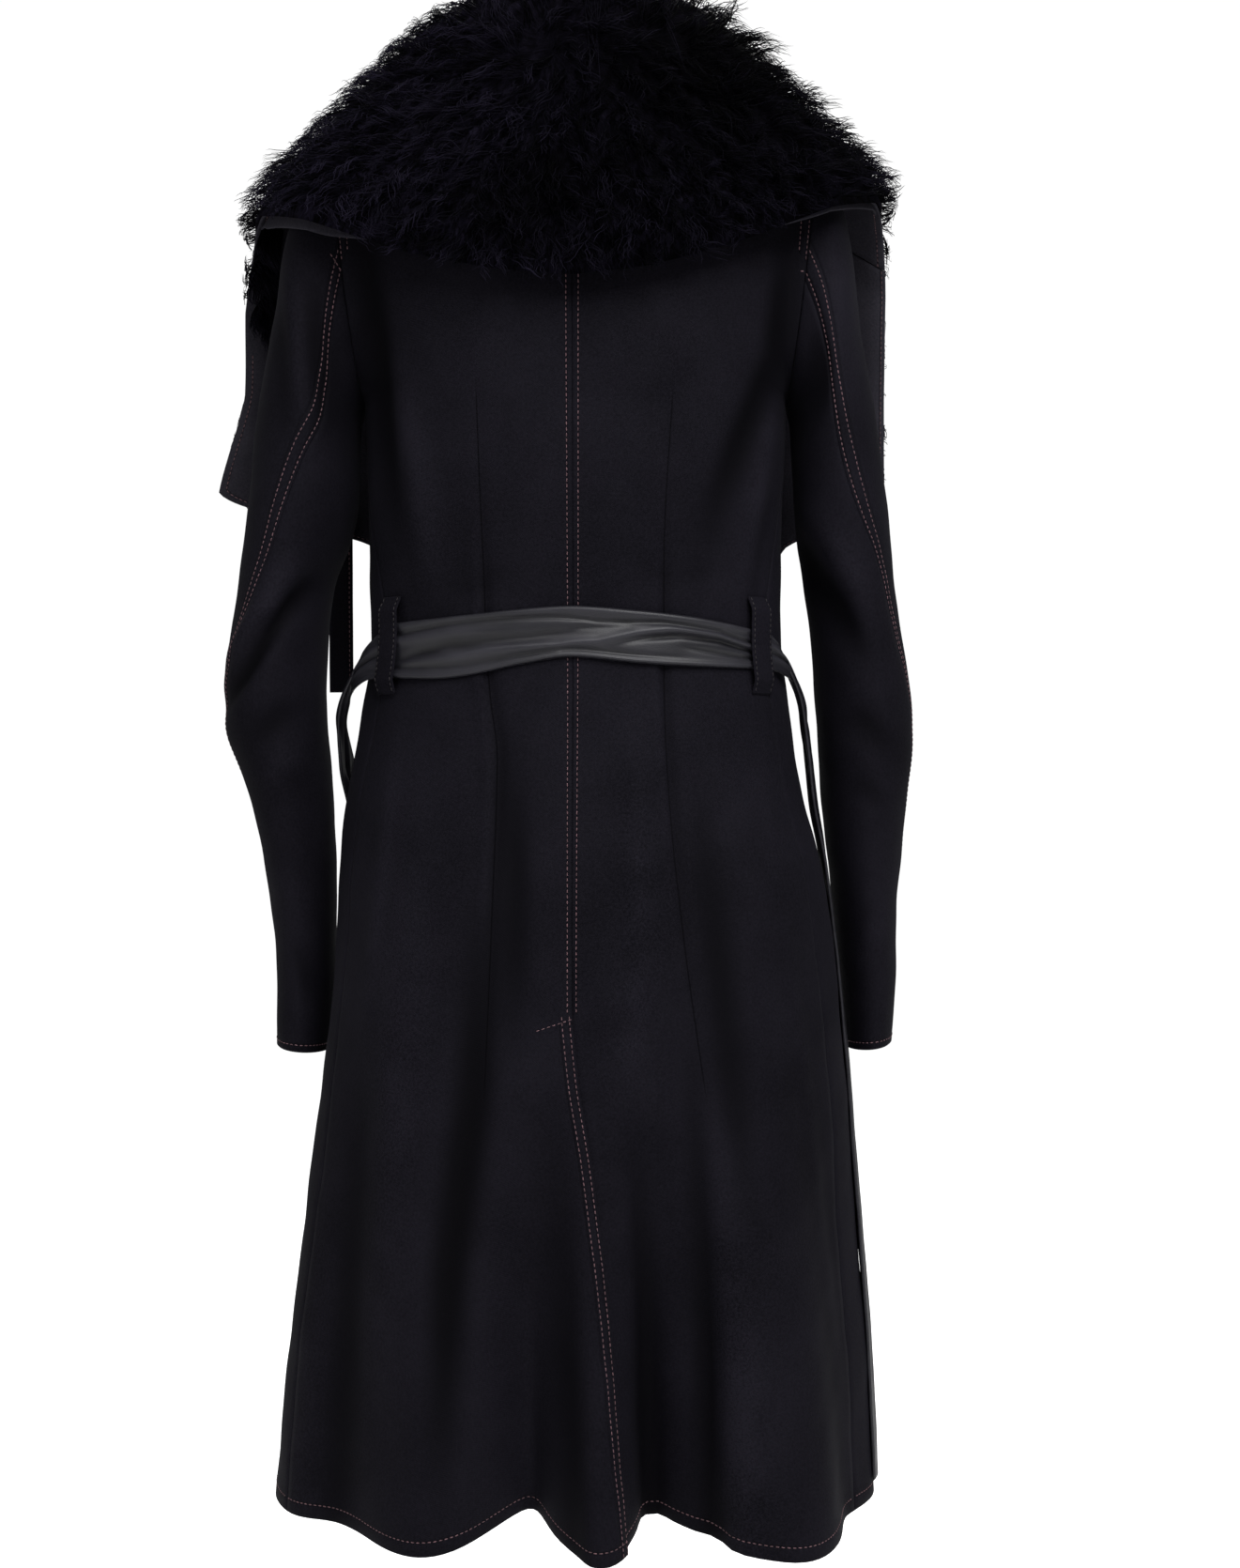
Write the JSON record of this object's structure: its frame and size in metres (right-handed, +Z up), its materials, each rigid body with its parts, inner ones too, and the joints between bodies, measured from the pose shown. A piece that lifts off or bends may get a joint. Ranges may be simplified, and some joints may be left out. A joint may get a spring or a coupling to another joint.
{
  "type": "fur collar coat",
  "caption": "Long fitted wool coat with a broad fur shawl collar, a back vent and a leather tie belt in side loops, filled out and hanging open.",
  "frame": {"origin": "middle of the neck opening, at the height of the side neck points, between the shoulders", "axes": "+Z up, +Y towards the coat's back, +X towards the wearer's left"},
  "size_m": [0.5571, 0.3427, 1.1304],
  "materials": {
    "wool": "soft matte wool twill",
    "fur": "long curly pile with a soft sheen",
    "leather": "soft satin leather"
  },
  "bodies": {
    "root": {"back_left": "wool", "back_right": "wool", "front_left": "wool", "front_right": "wool", "top_sleeve_left": "wool", "top_sleeve_right": "wool", "under_sleeve_left": "wool", "under_sleeve_right": "wool", "under_collar": "wool", "lapel_left": "wool", "lapel_right": "wool", "lapel_strip_left": "wool", "belt_loop_left": "wool", "belt_loop_right": "wool", "collar_fur": "fur", "lapel_fur_left": "fur", "lapel_fur_right": "fur", "belt_back": "leather", "belt_end_left": "leather", "belt_end_right": "leather"}
  },
  "joints": []
}
